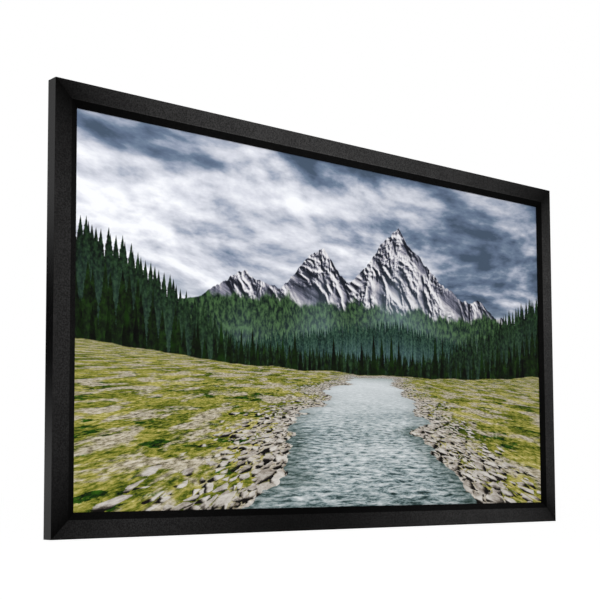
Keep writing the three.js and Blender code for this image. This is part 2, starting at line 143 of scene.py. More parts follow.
class Nodes:
    """Adds nodes to one tree. A method feeds its arguments to a node and returns that node's output."""

    def __init__(self, tree):
        self.tree = tree

    def feed(self, socket, value):
        """Links a socket to a value, or sets it. A tuple is a colour, as colour() takes it."""
        if isinstance(value, bpy.types.NodeSocket):
            self.tree.links.new(value, socket)
        elif isinstance(value, tuple):
            socket.default_value = colour(*value)
        else:
            socket.default_value = value

    def add(self, kind, inputs=None, **settings):
        node = self.tree.nodes.new("ShaderNode" + kind)
        for name, value in settings.items():
            setattr(node, name, value)
        for name, value in (inputs or {}).items():
            self.feed(node.inputs[name], value)
        return node

    def math(self, operation, *values):
        return self.add("Math", dict(enumerate(values)), operation=operation).outputs[0]

    def chain(self, operation, terms):
        return reduce(lambda a, b: self.math(operation, a, b), terms)

    def plus(self, *terms):
        return self.chain("ADD", terms)

    def times(self, *terms):
        return self.chain("MULTIPLY", terms)

    def highest(self, *terms):
        return self.chain("MAXIMUM", terms)

    def minus(self, a, b):
        return self.math("SUBTRACT", a, b)

    def apart(self, a, b):
        return self.math("ABSOLUTE", self.minus(a, b))

    def over(self, a, b):
        return self.math("DIVIDE", a, b)

    def step(self, value, low, high, start=0.0, end=1.0):
        """A smooth step: start where value is at low, end where it is at high."""
        inputs = {"Value": value, "From Min": low, "From Max": high, "To Min": start, "To Max": end}
        return self.add("MapRange", inputs, interpolation_type="SMOOTHSTEP").outputs["Result"]

    def mix(self, factor, a, b):
        """A colour from a, where factor is 0, to b, where it is 1."""
        inputs = {FACTOR_SOCKET: factor, FIRST_COLOUR: a, SECOND_COLOUR: b}
        return self.add("Mix", inputs, data_type="RGBA").outputs[MIXED_COLOUR]

    def join(self, x, y, z):
        return self.add("CombineXYZ", {"X": x, "Y": y, "Z": z}).outputs[0]

    def split(self, vector):
        return self.add("SeparateXYZ", {"Vector": vector}).outputs

    def noise(self, vector, scale, detail=2.0, roughness=0.5, distortion=0.0):
        shape = {"Detail": detail, "Roughness": roughness, "Distortion": distortion}
        return self.add("TexNoise", {"Vector": vector, "Scale": scale, **shape}).outputs["Fac"]

    def ramp(self, value, *stops):
        """A colour for each value. A stop is a place from 0 to 1 and the colour there."""
        node = self.add("ValToRGB", {"Fac": value})
        elements = node.color_ramp.elements
        for element, (place, *shade) in zip(elements, (stops[0], stops[-1])):
            element.position = place
            element.color = colour(*shade)
        for place, *shade in stops[1:-1]:
            elements.new(place).color = colour(*shade)
        return node.outputs["Color"]

    def bump(self, height, distance, **others):
        inputs = {"Height": height, "Distance": distance, **others}
        return self.add("Bump", inputs).outputs["Normal"]

    def use(self, group, **inputs):
        """Places a node group and returns its outputs."""
        return self.add("Group", inputs, node_tree=group).outputs

    def object_place(self):
        return self.add("TexCoord").outputs["Object"]


def colour(red, green, blue, share=1.0):
    """A colour named as on a screen, 0 to 255, and a share of its light, as Blender's linear values."""
    parts = np.array([red, green, blue]) / 255
    linear = np.where(parts <= 0.04045, parts / 12.92, ((parts + 0.055) / 1.055) ** 2.4)
    return (*(share * linear).tolist(), 1.0)


def new_material(name, **constants):
    """A material with its Principled BSDF. constants set sockets that stay the same all over."""
    material = bpy.data.materials.new(name)
    material.use_nodes = True
    shader = material.node_tree.nodes["Principled BSDF"]
    for socket, value in constants.items():
        shader.inputs[socket.replace("_", " ")].default_value = value
    return material, Nodes(material.node_tree), shader


# %% [markdown]
# ## The studio
#
# The photograph's background is pure white, and so is the world that the camera sees. The frame's satin
# side shows one long reflection: light, then a dark band, then light again. So for glossy rays the world
# has a dark band just above the horizon, between bright ones. For all others it is an even grey, which
# fills the shadows.

# %% Light the studio
BAND_MIDDLE = 0.12
BAND_DARK = 0.03
BAND_EDGE = 0.112
BRIGHT_ABOVE = 0.45
BRIGHT_BELOW = 0.56
DARK = 0.0
FILL = 0.5
LAMP_SIZE = 3.0
LAMP_WATTS = 190
KEY_PLACE = (-1.5, -5.0, 2.6)
BACK_PLACE = (2.5, 5.0, 2.5)

world = bpy.data.worlds.new("studio")
world.use_nodes = True
bpy.context.scene.world = world
n = Nodes(world.node_tree)
rays = n.add("LightPath").outputs
direction = n.split(n.add("TexCoord").outputs["Generated"])
from_band = n.apart(direction["Z"], BAND_MIDDLE)
bright = n.step(direction["Z"], 0.0, 2 * BAND_MIDDLE, BRIGHT_BELOW, BRIGHT_ABOVE)
banded = n.step(from_band, BAND_DARK, BAND_EDGE, DARK, bright)
shiny = n.highest(rays["Is Glossy Ray"], rays["Is Transmission Ray"])
unseen = n.plus(n.times(n.minus(1.0, shiny), FILL), n.times(shiny, banded))
level = n.highest(rays["Is Camera Ray"], unseen)
background = world.node_tree.nodes["Background"]
background.inputs["Color"].default_value = (1, 1, 1, 1)
n.feed(background.inputs["Strength"], level)


def soft_box(name, place):
    """A square lamp at a place, turned towards the middle of the screen."""
    data = bpy.data.lights.new(name, "AREA")
    data.size = LAMP_SIZE
    data.energy = LAMP_WATTS
    lamp = bpy.data.objects.new(name, data)
    facing = Vector(place).to_track_quat("Z", "Y").to_matrix().to_4x4()
    lamp.matrix_world = Matrix.Translation(place) @ facing
    bpy.context.scene.collection.objects.link(lamp)


soft_box("key", KEY_PLACE)
soft_box("back", BACK_PLACE)

# %% [markdown]
# A screen hangs about a metre above the floor. The floor shows the camera a little light of its own, so
# it meets the white world without a line, and only the object's shadow turns it grey.

# %% Lay the floor
FLOOR_BELOW = 0.9
FLOOR_REACH = 60.0
FLOOR_TONE = 0.9
FLOOR_GLOW = 0.55

floor_level = cad_box[0][2] - FLOOR_BELOW
floor_mesh = bpy.data.meshes.new("floor")
floor_mesh.from_pydata(
    [(x * FLOOR_REACH, y * FLOOR_REACH, floor_level) for x, y in ((-1, -1), (1, -1), (1, 1), (-1, 1))],
    [], [(0, 1, 2, 3)],
)
floor = bpy.data.objects.new("floor", floor_mesh)
bpy.context.scene.collection.objects.link(floor)
floor_material, n, shader = new_material(
    "pale_floor", Base_Color=(FLOOR_TONE, FLOOR_TONE, FLOOR_TONE, 1), Emission_Color=(1, 1, 1, 1),
    Roughness=0.9, Specular_IOR_Level=0.1,
)
seen = n.add("LightPath").outputs["Is Camera Ray"]
n.feed(shader.inputs["Emission Strength"], n.times(seen, FLOOR_GLOW))
floor_mesh.materials.append(floor_material)
print(f"floor at {floor_level:.2f} m")

# %% [markdown]
# ## Effects that several finishes share
#
# Two effects turn up again and again. A fine grain breaks up coated surfaces, and long faint lines run
# along everything that was pushed through a die. Each is a node group with named inputs, so that every
# finish can use it at its own scale.

# %% Make the shared effects
DRAWN_OUT = 0.995


def new_group(name, outputs, **numbers):
    """A node group that reads a place and numbers, which are given with their default values."""
    group = bpy.data.node_groups.new(name, "ShaderNodeTree")
    group.interface.new_socket("place", in_out="INPUT", socket_type="NodeSocketVector")
    for label, default in numbers.items():
        socket = group.interface.new_socket(label, in_out="INPUT", socket_type="NodeSocketFloat")
        socket.default_value = default
    for label in outputs:
        group.interface.new_socket(label, in_out="OUTPUT", socket_type="NodeSocketFloat")
    given = group.nodes.new("NodeGroupInput").outputs
    return group, Nodes(group), given, group.nodes.new("NodeGroupOutput").inputs


grain_group, n, given, gives = new_group("grain", ["fine", "coarse"], scale=500.0)
n.feed(gives["fine"], n.noise(given["place"], given["scale"], 3.0, 0.6))
n.feed(gives["coarse"], n.noise(given["place"], n.times(given["scale"], 0.02), 4.0, 0.55))

drawn_group, n, given, gives = new_group("drawn_lines", ["lines"], scale=400.0, along_x=0.0, along_z=0.0)
place = n.split(given["place"])
keep_x = n.minus(1.0, n.times(given["along_x"], DRAWN_OUT))
keep_z = n.minus(1.0, n.times(given["along_z"], DRAWN_OUT))
squeezed = n.join(n.times(place["X"], keep_x), place["Y"], n.times(place["Z"], keep_z))
n.feed(gives["lines"], n.noise(squeezed, given["scale"], 3.0, 0.65))
print("groups:", [group.name for group in bpy.data.node_groups])

# %% [markdown]
# ## Satin black rails
#
# The rails are extruded aluminium with a black anodised skin. It is satin and mirrors the studio's light
# and dark bands softly, as the photograph's left side shows. The roughness follows the die's faint lines
# a little, so the reflection is streaked lengthwise.

# %% Finish the rails
SATIN = (9, 9, 10)
GLOSS = (0.1, 0.16)


def satin_black(name, along):
    material, n, shader = new_material(name, Specular_IOR_Level=0.5)
    place = n.object_place()
    lines = n.use(drawn_group, place=place, scale=900.0, **{f"along_{along}": 1.0})["lines"]
    grain = n.use(grain_group, place=place, scale=1800.0)
    n.feed(shader.inputs["Base Color"], n.mix(grain["coarse"], (*SATIN, 0.75), (*SATIN, 1.3)))
    gloss = n.step(lines, 0.2, 0.8, *GLOSS)
    n.feed(shader.inputs["Roughness"], n.plus(gloss, n.times(grain["coarse"], 0.03)))
    n.feed(shader.inputs["Normal"], n.bump(n.plus(lines, n.times(grain["fine"], 0.4)), 0.02 * MM))
    return material


rail_across = satin_black("satin_black_across", "x")
rail_upright = satin_black("satin_black_upright", "z")


def finish_node(name, material):
    """Gives a CAD node its finish."""
    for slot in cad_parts[name].material_slots:
        slot.material = material


for name in ("top_rail", "bottom_rail"):
    finish_node(name, rail_across)
for name in ("left_rail", "right_rail", "support_bar"):
    finish_node(name, rail_upright)

# %% [markdown]
# ## Steel and plastic fittings
#
# The corner brackets and the bar's screws are zinc plated, a slightly mottled grey. The wall brackets are
# powder coated: black and matte, with the fine orange peel of a baked powder. The bar's clips are moulded
# plastic. One function makes them all, because they differ only in their numbers.

# %% Finish the fittings
def grainy(name, scale, colours, roughness, relief=0.0, **constants):
    """A material whose grain leads it between two colours and two roughnesses, and may stand out."""
    material, n, shader = new_material(name, **constants)
    grain = n.use(grain_group, place=n.object_place(), scale=scale)
    n.feed(shader.inputs["Base Color"], n.mix(grain["coarse"], *colours))
    n.feed(shader.inputs["Roughness"], n.step(grain["fine"], 0.2, 0.8, *roughness))
    if relief:
        n.feed(shader.inputs["Normal"], n.bump(grain["fine"], relief))
    return material


def coated_black(name, scale, base, roughness, peel):
    return grainy(name, scale, (base, (*base, 1.5)), roughness, peel, Specular_IOR_Level=0.4)


zinc_greys = ((150, 152, 156), (196, 198, 202))
zinc = grainy("zinc_plate", 700.0, zinc_greys, (0.26, 0.42), 0.02 * MM, Metallic=1.0)
powder = coated_black("powder_coat", 900.0, (16, 16, 17), (0.44, 0.58), 0.08 * MM)
moulded = coated_black("moulded_plastic", 1500.0, (14, 14, 14), (0.49, 0.63), 0.03 * MM)

for level in ("top", "bottom"):
    finish_node(f"{level}_bar_clip", moulded)
    for hand in ("left", "right"):
        finish_node(f"{level}_{hand}_corner_bracket", zinc)
        finish_node(f"{level}_{hand}_wall_bracket", powder)

# %% [markdown]
# ## Turning a side's section into the frame
#
# All four sides have the same section, so each piece is worked out on the bottom side and turned into its
# place. A turn by a quarter about Y sends the pair of coordinates (across, up) to (-up, across).

# %% Place points on a side
ACROSS = {"length": FRAME_WIDTH, "reach": FRAME_HEIGHT / 2}
UPRIGHT = {"length": FRAME_HEIGHT, "reach": FRAME_WIDTH / 2}
SIDES = {
    "bottom": {"quarters": 0, **ACROSS},
    "right": {"quarters": 1, **UPRIGHT},
    "top": {"quarters": 2, **ACROSS},
    "left": {"quarters": 3, **UPRIGHT},
}


def on_side(side, s, u, v):
    """World points for places s, u and v of a side: s runs along it, u - reach is the height, and quarter
    turns bring it from the bottom to its side."""
    x, z = np.broadcast_arrays(s, u - side["reach"])
    for _ in range(side["quarters"]):
        x, z = -z, x
    y = np.broadcast_to(FRONT + v, x.shape)
    return np.stack([x, y, z], axis=-1)


def quads(ids):
    """The four-cornered faces between neighbours in a grid of vertex numbers."""
    return np.stack([ids[:-1, :-1], ids[:-1, 1:], ids[1:, 1:], ids[1:, :-1]], axis=-1).reshape(-1, 4)


def slab_faces(rows, columns, first=0):
    """Faces of a thick sheet of two layers, each rows by columns points: layers, rims and ends."""
    ids = first + np.arange(rows * columns * 2).reshape(rows, columns, 2)
    return [
        quads(ids[:, :, 0]), quads(ids[:, ::-1, 1]),
        quads(ids[:, 0, ::-1]), quads(ids[:, -1, :]),
        quads(ids[0, :, :]), quads(ids[-1, :, ::-1]),
    ]


def make_piece(name, points, faces, materials, values=None, face_material=0, sharp=35):
    """A mesh object at the origin. values are named numbers for each point, which its finish can read."""
    mesh = bpy.data.meshes.new(name)
    mesh.from_pydata(points.reshape(-1, 3).tolist(), [], [list(face) for face in faces])
    for label, numbers in (values or {}).items():
        attribute = mesh.attributes.new(label, "FLOAT", "POINT")
        attribute.data.foreach_set("value", np.ravel(numbers).astype(np.float32))
    for material in materials:
        mesh.materials.append(material)
    mesh.polygons.foreach_set("material_index", np.zeros(len(faces), np.int32) + face_material)
    working = bmesh.new()
    working.from_mesh(mesh)
    bmesh.ops.recalc_face_normals(working, faces=working.faces)
    working.to_mesh(mesh)
    working.free()
    mesh.shade_smooth()
    mesh.set_sharp_from_angle(angle=math.radians(sharp))
    piece = bpy.data.objects.new(name, mesh)
    bpy.context.scene.collection.objects.link(piece)
    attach(piece, "root")
    return piece


def rounded_path(corners, radii, steps=8):
    """Points along a path whose corners are arcs. An arc's centre lies on the corner's middle line, at
    the radius over the sine of half the corner's angle."""
    points = []
    for i, (corner, radius) in enumerate(zip(np.array(corners, float), radii)):
        if radius == 0:
            points.append(corner[None])
            continue
        before = corners[i - 1] - corner
        after = corners[i + 1] - corner
        before /= np.linalg.norm(before)
        after /= np.linalg.norm(after)
        half = math.acos(before @ after) / 2
        middle = (before + after) / np.linalg.norm(before + after)
        centre = corner + middle * radius / math.sin(half)
        start = corner + before * radius / math.tan(half) - centre
        turn = np.sign(after[0] * before[1] - after[1] * before[0]) * (math.pi - 2 * half)
        angle = np.linspace(0, turn, steps + 1)
        onward = np.array([-start[1], start[0]])
        points.append(centre + (np.outer(np.cos(angle), start) + np.outer(np.sin(angle), onward)))
    return np.concatenate(points)


def beside(path, distance):
    """The path moved sideways, to the left of travel, by distance along its normals."""
    step = np.gradient(path, axis=0)
    step /= np.linalg.norm(step, axis=1, keepdims=True)
    return path + distance * np.stack([-step[:, 1], step[:, 0]], axis=-1)


def travelled(path):
    """Distance along a path at each of its points."""
    return np.concatenate([[0], np.cumsum(np.linalg.norm(np.diff(path, axis=0), axis=1))])


# %% [markdown]
# ## The velvet
#
# Black velvet is glued to the front of each rail, folded over the lip by the picture and tucked in
# behind. Its tone is painted light and shade. Each side is lighter at mid-length, as under a soft lamp,
# darker towards the mitres, and much darker on the bevel, which faces away from the light; the top and
# right sides are painted lighter than the left. Along the crease runs a thin painted highlight. A darker
# patch, a bell curve, is deep on the bottom side and fainter on the others.
#
# A particle system could grow the pile, but from here a fine grain and a soft sheen say the same with no
# hair to render. Painted light and shade are worked out for each point of the mesh; the finish reads them.

# %% Finish the velvet
velvet_material, n, shader = new_material(
    "velvet", Roughness=0.95, Specular_IOR_Level=0.04, Sheen_Weight=0.015, Sheen_Roughness=0.4,
)
# The pile's painted light and shade, worked out for each point of the mesh.
painted_light_there = n.add("Attribute", attribute_name="painted_pile_light").outputs["Fac"]
place = n.object_place()
grain = n.use(grain_group, place=place, scale=230.0)
pile = n.noise(place, 1500.0, 2.0, 0.7)
brushed = n.step(n.noise(place, 9.0, 3.0, 0.6), 0.3, 0.7, 0.92, 1.08)
grained = n.step(grain["fine"], 0.32, 0.68, 0.5, 1.5)
level = n.times(n.times(painted_light_there, brushed), n.times(grained, n.step(pile, 0.25, 0.75, 0.75, 1.25)))
shade = n.add("CombineColor", {"Red": n.times(level, 1.02), "Green": level, "Blue": level})
n.feed(shader.inputs["Base Color"], shade.outputs[0])
relief = n.plus(n.times(grain["fine"], 0.6), pile)
n.feed(shader.inputs["Normal"], n.bump(relief, 0.25 * MM, Strength=0.6))

# %% [markdown]
# The velvet's shape is one path, from the outer edge over the bevel to the tail behind the lip. It is
# moved inwards by the cloth's thickness for its second layer and carried along the side. At a place `u`
# from the outer edge the strip is shorter by `u` at each end, which makes the 45 degree mitre.

# %% Cover the rails with velvet
VELVET_STEPS = 48
# Painted light and shade of each side's pile: light at mid-length, power and ends of its fall to the
# mitres, a darker patch's place and depth, the bevel's painted shade and the crease's painted highlight.
PILE_LIGHT_AND_SHADE = {  # light, power, ends, dark_patch_place, stroke, bevel, crease
    "top": (0.035, 2.6, 0.1, -0.35, 0.1, 0.1, 0.55),
    "right": (0.036, 3.6, 0.1, -0.4, 0.38, 0.1, 0.15),
    "left": (0.0175, 3.0, 0.06, 1.0, 0.2, 0.32, 0.15),
    "bottom": (0.029, 5.0, 0.3, -0.2, 0.82, 0.18, 0.1),
}
# Each side has a darker patch, a bell curve of this width.
DARK_PATCH_WIDTH = 0.62
CREASE_WIDTH = 3.5 * MM
CREASE_HALF = 0.6 * MM


def painted_pile_light(share, light, power, ends, dark_patch_place, dark_patch, bevel, crease):
    """Painted light and shade of the pile at a share from -1 to 1 of a side: light at the middle, and
    light * ends at the mitres, by |share| ^ power. It is less by a bell curve, a darker patch. On the
    bevel only the share called bevel is left, as painted shade, and in the crease it is more by the share
    called crease, a painted highlight."""
    rounded = 1 - (1 - ends) * np.abs(share) ** power
    bell = np.exp(-((share - dark_patch_place) / DARK_PATCH_WIDTH) ** 2)
    along = light * rounded * (1 - dark_patch * bell)
    across = 1 - (1 - bevel) * on_bevel + crease * crease_highlight_mask * (1 - on_bevel)
    return along[:, None] * across[None, :]


velvet_corners = [
    (0, 0), (FACE - CREASE_WIDTH, 0), (FACE, 0),
    (BORDER, BEVEL_DROP), (BORDER, SIGHT_BACK), (BORDER - TAIL, SIGHT_BACK),
]
velvet_path = rounded_path(velvet_corners, [0, 0, BEVEL_ROUND, LIP_ROUND, LIP_ROUND, 0])
velvet_layers = np.stack([velvet_path, beside(velvet_path, VELVET)], axis=1)
# The bevel mask takes the pile into painted shade; the crease mask lays a thin painted highlight.
past_crease = velvet_path[:, 0] - FACE
on_bevel = np.clip((past_crease + CREASE_HALF) / (2 * CREASE_HALF), 0, 1)
crease_highlight_mask = np.clip((past_crease + CREASE_WIDTH) / (CREASE_WIDTH - 2 * CREASE_HALF), 0, 1)

for name, side in SIDES.items():
    share = np.linspace(-1, 1, VELVET_STEPS + 1)
    u, v = np.moveaxis(velvet_layers, -1, 0)
    s = share[:, None, None] * (side["length"] / 2 - u - MITRE_GAP / math.sqrt(2))
    points = on_side(side, s, u, v)
    faces = np.concatenate(slab_faces(len(share), len(velvet_path)))
    tone = painted_pile_light(share, *PILE_LIGHT_AND_SHADE[name])
    values = {"painted_pile_light": np.broadcast_to(tone[:, :, None], s.shape)}
    velvet = make_piece(f"{name}_velvet_cloth", points, faces, [velvet_material], values)
    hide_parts(f"{name}_velvet")

# %% [markdown]
# ## The picture on the sheet
#
# The screen is seen at work, with a landscape on it: a wide river that comes out of a wooded valley,
# under clouds. It is made up, and painted like stage scenery: each layer is a colour with an upper edge,
# nearer layers cover farther ones, and haze lies between. It uses no image but reads the object's own
# coordinates, as shares of the picture's width, with 0 at the middle.

# %% Measure the picture
HORIZON = -0.03

# The projector's light on the screen is painted into the vinyl's base colour, as if printed.
picture_material, n, picture_shader = new_material(
    "picture_on_vinyl", Roughness=0.85, Specular_IOR_Level=0.1,
)
place = n.split(n.object_place())
across = n.over(place["X"], PICTURE_WIDTH)
height = n.over(place["Z"], PICTURE_WIDTH)
flat_place = n.join(across, height, 0.0)

# %% [markdown]
# The clouds are one noise, read twice. The second reading is taken a little higher, and the difference
# tells which side of each billow faces the light. Far clouds look smaller and flatter, so the place is
# divided by the height above the horizon first.

# %% Paint the sky
CLOUD_LIFT = 0.42
LIGHT_STEP = 0.05

above = n.plus(n.highest(n.minus(height, HORIZON), 0.0), CLOUD_LIFT)
sky_x = n.over(n.times(across, 0.85), above)
sky_y = n.over(1.35, above)
billows = n.noise(n.join(sky_x, sky_y, 3.3), 2.3, 10.0, 0.56, 0.15)
lit_place = n.join(n.plus(sky_x, 0.4 * LIGHT_STEP), n.minus(sky_y, LIGHT_STEP), 3.3)
lit_billows = n.noise(lit_place, 2.3, 6.0, 0.5, 0.15)
cover = n.noise(n.join(sky_x, sky_y, 7.7), 0.9, 3.0, 0.5)
lit_side = n.times(n.minus(billows, lit_billows), 1.5)
cloud_tone = n.plus(n.times(billows, 0.75), lit_side, n.times(cover, 0.75))
clouds = n.ramp(
    cloud_tone,
    (0.52, 82, 92, 104), (0.64, 108, 117, 131), (0.73, 144, 150, 166),
    (0.82, 188, 192, 206), (0.95, 236, 238, 244),
)
low_glow = n.step(height, HORIZON, HORIZON + 0.12, 0.55, 0.0)
picture = n.mix(low_glow, clouds, (214, 220, 230))

# %% [markdown]
# A layer of hills is an upper edge and a colour. The edge is a tent or a hump for each hill, plus noise
# along the picture's width, and the mask is a narrow smooth step from sky to hill.

# %% Paint the far hills
def tent(middle, half_width, rise):
    """A pointed hill: rise at the middle, straight down to zero at half_width on both sides."""
    fall = n.times(n.apart(across, middle), rise / half_width)
    return n.highest(n.minus(rise, fall), 0.0)


def hump(middle, half_width, rise):
    """A rounded hill: rise times a smooth step that falls from the middle to half_width on both sides."""
    return n.step(n.apart(across, middle), 0.0, half_width, rise, 0.0)


def rough_edge(scale, seed, detail, size):
    """Noise along one line, up and down by half of size."""
    return n.times(n.minus(n.noise(n.join(across, seed, 0.0), scale, detail, 0.56), 0.5), size)


def below(edge, end=0.002, over=0.0, under=1.0, start=0.0):
    """A value that goes from over at the edge, or at start below it, to under at end below it."""
    return n.step(n.minus(edge, height), start, end, over, under)


far_edge = n.plus(HORIZON + 0.03, hump(-0.05, 0.5, 0.03), rough_edge(5.0, 1.7, 7.0, 0.09))
far_tone = n.mix(n.noise(flat_place, 26.0, 6.0, 0.62), (52, 92, 118), (118, 152, 172))
far_haze = below(far_edge, 0.09, 0.05, 0.6)
picture = n.mix(below(far_edge), picture, n.mix(far_haze, far_tone, (176, 192, 204)))

# %% [markdown]
# The rock is lit from one side in the same way as the clouds. A ridged noise has sharp crests, as rock
# has, and it is stretched downhill. Woods climb up the lower slopes, where a second noise lets them.

# %% Paint the peaks
PEAKS = [(-0.2, 0.26, 0.125), (-0.04, 0.2, 0.17), (0.13, 0.3, 0.215), (0.33, 0.22, 0.12)]

peak_edge = n.plus(
    HORIZON, n.highest(*(tent(*sizes) for sizes in PEAKS)), rough_edge(8.0, 5.2, 10.0, 0.12),
)


def crags(shift_x, shift_y, detail):
    x = n.plus(across, n.times(height, 0.35), shift_x)
    vector = n.join(n.times(x, 1.5), n.times(n.plus(height, shift_y), 0.9), 2.6)
    inputs = {
        "Vector": vector, "Scale": 11.0, "Detail": detail, "Roughness": 0.7, "Distortion": 0.3,
        "Offset": 0.9, "Gain": 1.8,
    }
    return n.add("TexNoise", inputs, noise_type="RIDGED_MULTIFRACTAL", normalize=True).outputs["Fac"]


crag_relief = n.times(n.minus(crags(0.0, 0.0, 9.0), crags(0.004, 0.003, 8.0)), 0.8)
band_place = n.join(n.plus(across, n.times(height, 2.2)), n.times(height, 0.6), 0.4)
rock_bands = n.noise(band_place, 24.0, 7.0, 0.65, 0.4)
rock_tone = n.ramp(
    n.plus(0.12, crag_relief, n.times(rock_bands, 0.72)),
    (0.24, 38, 40, 48), (0.38, 78, 79, 88), (0.5, 122, 121, 130),
    (0.62, 168, 165, 171), (0.8, 216, 214, 218),
)
wood_edge = n.noise(n.join(across, n.times(height, 0.3), 4.0), 16.0, 7.0, 0.66)
tree_line = n.plus(HORIZON + 0.035, n.times(wood_edge, 0.1))
wood_grain = n.step(n.noise(n.join(across, n.times(height, 0.5), 6.0), 170.0, 4.0, 0.65), 0.35, 0.65)
slope_wood = n.mix(wood_grain, (16, 32, 26), (78, 98, 68))
rock_tone = n.mix(below(tree_line, 0.012), rock_tone, slope_wood)
rock_haze = below(peak_edge, 0.2, 0.04, 0.34, start=0.02)
picture = n.mix(below(peak_edge), picture, n.mix(rock_haze, rock_tone, (150, 164, 174)))

# %% [markdown]
# Conifers come from cells along one line. Each cell gives the distance to its middle and chance numbers
# of its own. A tree stands at the middle: its tip rises by chance, and its edge falls steeply with the
# distance, ragged by fine noise. Five belts of them make the woods, each nearer, larger and darker.

# %% Paint the woods
def conifers(picture, edge, size, spacing, seed, dark, light, haze_colour, haze):
    along_line = {"W": n.plus(across, seed), "Scale": 1 / spacing}
    cell = n.add("TexVoronoi", along_line, voronoi_dimensions="1D")
    chance = n.add("SeparateColor", {"Color": cell.outputs["Color"]}).outputs
    ragged = n.noise(n.join(n.times(across, 0.5), height, seed), 3.6 / size, 4.0, 0.8)
    fall = n.times(cell.outputs["Distance"], n.plus(0.1, n.times(ragged, 2.2)), 2.1 * size)
    rise = n.times(n.plus(0.35, n.times(chance["Red"], 0.75)), size)
    tip = n.minus(n.plus(edge, rise), fall)
    leaf = n.noise(n.join(across, n.times(height, 0.7), seed), 3.4 / size, 6.0, 0.72)
    shade = n.plus(n.times(n.minus(chance["Green"], 0.5), 0.34), n.step(leaf, 0.3, 0.72))
    tone = n.mix(shade, dark, light)
    mist = below(tip, 0.09, 0.0, haze)
    return n.mix(below(tip, 0.0016), picture, n.mix(mist, tone, haze_colour))


BELTS = [  # foot, humps and noise of the edge; size, spacing, seed; dark, light and haze colours, haze
    (0.012, [(0.12, 0.3, 0.045)], (9.0, 3.3, 6.0, 0.06), (0.009, 0.0042, 7.9),
     (26, 44, 42), (76, 96, 84), (120, 138, 146), 0.42),
    (-0.006, [], (6.0, 8.1, 5.0, 0.05), (0.012, 0.0054, 4.6),
     (18, 34, 28), (66, 86, 62), (98, 116, 112), 0.34),
    (-0.012, [(-0.56, 0.44, 0.17), (0.58, 0.44, 0.15)], (6.0, 9.1, 5.0, 0.05), (0.016, 0.0075, 1.3),
     (14, 28, 24), (64, 82, 62), (88, 104, 102), 0.26),
    (-0.022, [(-0.56, 0.38, 0.11), (0.6, 0.36, 0.1)], (7.0, 2.4, 4.0, 0.035), (0.034, 0.013, 5.7),
     (6, 15, 9), (52, 72, 36), (60, 76, 60), 0.18),
    (-0.036, [(-0.58, 0.28, 0.06), (0.6, 0.26, 0.05)], (9.0, 8.8, 4.0, 0.02), (0.075, 0.021, 3.1),
     (2, 7, 3), (42, 66, 22), (40, 56, 28), 0.1),
]
for foot, humps, roughness, trees, dark, light, haze_colour, haze in BELTS:
    edge = n.plus(HORIZON + foot, *(hump(*sizes) for sizes in humps), rough_edge(*roughness))
    picture = conifers(picture, edge, *trees, dark, light, haze_colour, haze)

# %% [markdown]
# The ground lies in perspective. At a depth `d` below the horizon, one step across the picture stands for
# `1 / d` as much ground, so noise that reads (across / d, 1 / d) shrinks towards the horizon by itself.
# The grass is two such noises, one fine and one coarse, and bushes and scree lie on it in patches.

# %% Paint the meadow
GROUND_TOP = HORIZON - 0.032
EYE_LIFT = 0.035

depth = n.highest(n.minus(GROUND_TOP + EYE_LIFT, height), 0.01)
ground_x = n.over(n.times(across, 0.5), depth)
ground_y = n.over(0.2, depth)
ground_place = n.join(ground_x, ground_y, 0.0)
tufts = n.noise(ground_place, 26.0, 7.0, 0.75, 0.2)
patches = n.noise(ground_place, 2.2, 5.0, 0.6, 0.4)
grass = n.ramp(
    n.plus(n.times(tufts, 0.75), n.times(patches, 0.5)),
    (0.42, 18, 27, 12), (0.51, 56, 72, 30), (0.6, 104, 108, 54),
    (0.7, 150, 142, 96), (0.82, 198, 187, 148),
)
meadow_edge = n.plus(
    GROUND_TOP, hump(-0.5, 0.34, 0.02), hump(0.52, 0.3, 0.016), rough_edge(9.0, 3.0, 7.0, 0.02),
)
bushes = n.noise(n.join(n.times(ground_x, 0.8), n.times(ground_y, 1.3), 5.0), 5.5, 7.0, 0.68, 0.2)
bush_tone = n.mix(n.step(tufts, 0.35, 0.65), (10, 22, 6), (70, 100, 34))
grass = n.mix(n.step(bushes, 0.555, 0.585), grass, bush_tone)
scree = n.noise(n.join(ground_x, ground_y, 9.0), 3.1, 6.0, 0.64, 0.3)
scree_tone = n.mix(n.step(tufts, 0.3, 0.7), (60, 55, 48), (200, 190, 176))
grass = n.mix(n.step(scree, 0.49, 0.57, 0.0, 0.85), grass, scree_tone)
picture = n.mix(below(meadow_edge), picture, grass)

# %% [markdown]
# Stones are cells too, and the distance to a cell's edge gives them their angular outlines. Each takes
# its tone and the tilt of its face from its own chance numbers, and is lighter above its middle than
# below. They lie thick along the water and thin out up the bank, where only the cells with a high chance
# number stay.

# %% Paint the river and its stones
def swing(scale, seed, size):
    sway = n.minus(n.noise(n.join(ground_y, seed, 0.0), scale, 4.0, 0.55), 0.5)
    return n.times(sway, n.times(depth, size))


river_left = n.plus(0.06, n.times(depth, -1.15), swing(1.3, 1.9, 3.0))
river_right = n.plus(0.075, n.times(depth, 0.95), swing(1.1, 6.3, 2.6))
shore_noise = n.times(n.minus(patches, 0.5), depth, 0.9)
past_banks = n.highest(n.minus(river_left, across), n.minus(across, river_right))
from_bank = n.plus(past_banks, shore_noise)
up_bank = n.over(from_bank, depth)


